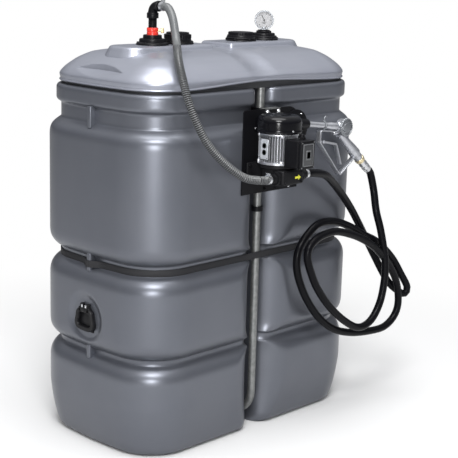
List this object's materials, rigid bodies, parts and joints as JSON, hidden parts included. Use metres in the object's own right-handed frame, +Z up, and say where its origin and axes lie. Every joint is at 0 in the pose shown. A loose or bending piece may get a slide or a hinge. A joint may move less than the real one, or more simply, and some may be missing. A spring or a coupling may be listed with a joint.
{
  "type": "bunded diesel fuel tank",
  "caption": "Upright silver-grey double-walled fuel tank with a grooved two-lobed body, domed roof with ports and dial gauge, side-hung electric pump, hoses and trigger nozzle.",
  "frame": {"origin": "middle of the underside, on the floor", "axes": "+Z up, X along the long side, -Y out of the side that carries the pump"},
  "size_m": [1.3824, 0.932, 1.627],
  "materials": {
    "tank_plastic": "satin silver grey",
    "roof_plastic": "satin silver grey",
    "strap_black": "matt woven",
    "black_rubber": "satin",
    "zinc_tube": "galvanised",
    "black_plastic": "satin",
    "black_paint": "satin",
    "black_casting": "satin",
    "bare_aluminium": "satin",
    "bright_plate": "satin",
    "black_gloss": "gloss",
    "brass": "satin",
    "black_hose": "satin",
    "grey_hose": "ribbed",
    "red_plastic": "satin",
    "dial_face": "matt"
  },
  "bodies": {
    "tank": {"bund_wall": "tank_plastic", "bund_floor": "tank_plastic", "tank_roof": "roof_plastic", "strap": "strap_black", "carry_grip_left": "black_rubber", "carry_grip_right": "black_rubber", "support_tube": "zinc_tube", "tube_clip": "black_plastic", "upper_tube_clamp": "black_paint", "lower_tube_clamp": "black_paint", "pump_plate": "black_paint", "pump_body": "black_casting", "inlet_port": "black_casting", "outlet_port": "black_casting", "motor_body": "bare_aluminium", "motor_plate": "bright_plate", "fan_cowl": "black_gloss", "terminal_box": "black_plastic", "switch_panel": "black_gloss", "nozzle_holder": "black_paint", "nozzle_spout": "bare_aluminium", "nozzle_hook": "bare_aluminium", "nozzle_body": "bare_aluminium", "nozzle_cover": "bright_plate", "trigger_guard": "bare_aluminium", "hose_swivel": "brass", "hose_ferrule": "bright_plate", "delivery_hose": "black_hose", "outlet_clamp": "bright_plate", "suction_hose": "grey_hose", "inlet_clamp": "bright_plate", "elbow_clamp": "bright_plate", "suction_flange": "black_plastic", "suction_bush": "red_plastic", "suction_nipple": "black_plastic", "suction_elbow": "black_plastic", "fill_cap": "black_plastic", "vent_cap": "black_plastic", "gauge_base": "black_plastic", "gauge_case": "bright_plate", "gauge_dial": "dial_face"},
    "trigger": {"trigger": "bare_aluminium"}
  },
  "joints": [
    {"name": "trigger_hinge", "type": "hinge", "parent": "tank", "child": "trigger", "pos_m": [0.24087, -0.388, 1.10715], "axis": [0, -1, 0], "range_deg": [0, 12], "stiffness_Nm_per_rad": 0.6, "springref_deg": -17.19}
  ]
}
